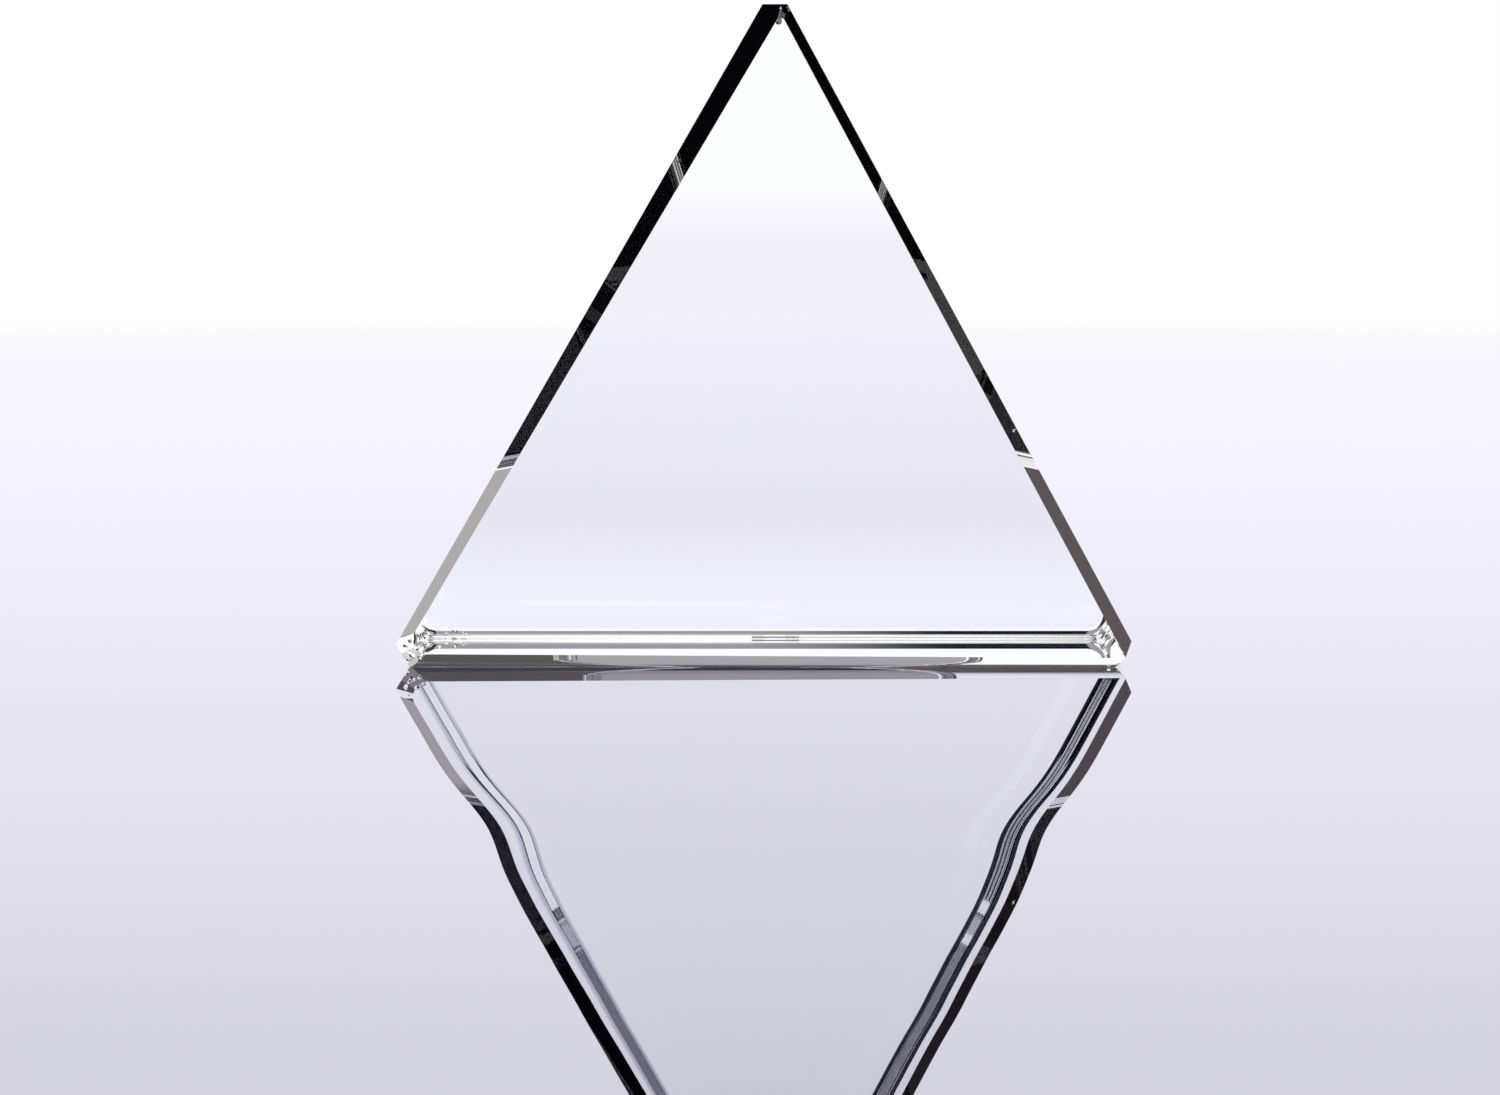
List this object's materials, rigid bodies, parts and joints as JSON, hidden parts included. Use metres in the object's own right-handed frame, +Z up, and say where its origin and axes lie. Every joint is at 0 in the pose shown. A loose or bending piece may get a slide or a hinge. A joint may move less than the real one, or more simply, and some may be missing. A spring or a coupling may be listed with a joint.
{
  "type": "triangular glass prism",
  "caption": "Solid clear glass triangular prism with sides near 60 degrees, narrow ground flats on its long edges, ground bevels round the front end and a rolled edge round the back end.",
  "frame": {"origin": "on the base face, at the middle of the block's width and length", "axes": "+Z up from the base to the apex flat, +Y along the bar towards its back end, +X to the right as seen from the front end"},
  "size_m": [0.0482, 0.06, 0.0434],
  "materials": {
    "optical_glass": "polished"
  },
  "bodies": {
    "root": {"glass_prism": "optical_glass"}
  },
  "joints": []
}
